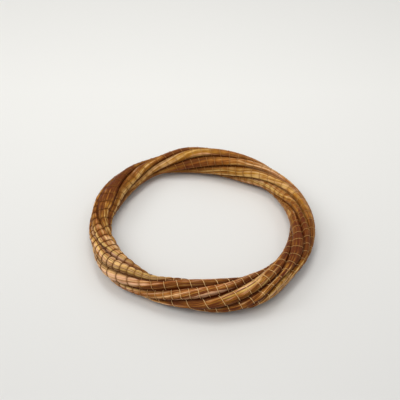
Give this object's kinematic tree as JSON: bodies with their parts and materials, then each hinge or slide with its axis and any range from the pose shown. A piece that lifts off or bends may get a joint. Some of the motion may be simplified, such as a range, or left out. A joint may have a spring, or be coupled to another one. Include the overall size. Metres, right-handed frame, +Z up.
{
  "type": "woven grass bracelet",
  "caption": "Round rope-like bangle of golden grass bundles laid round each other, each bound with fine thread, worn on the wrist.",
  "frame": {"origin": "centre of the ring's outline, on the surface that it lies on", "axes": "+Z up along the ring's axis, -Y towards the viewer of the picture, +X to the viewer's right"},
  "size_m": [0.0832, 0.0844, 0.0114],
  "materials": {
    "golden_grass": "satin, dry grass stems",
    "gold_thread": "glossy golden thread"
  },
  "bodies": {
    "root": {"grass_strand_1": "golden_grass", "grass_strand_2": "golden_grass", "grass_strand_3": "golden_grass", "grass_strand_4": "golden_grass", "grass_strand_5": "golden_grass", "grass_strand_6": "golden_grass"}
  },
  "joints": []
}
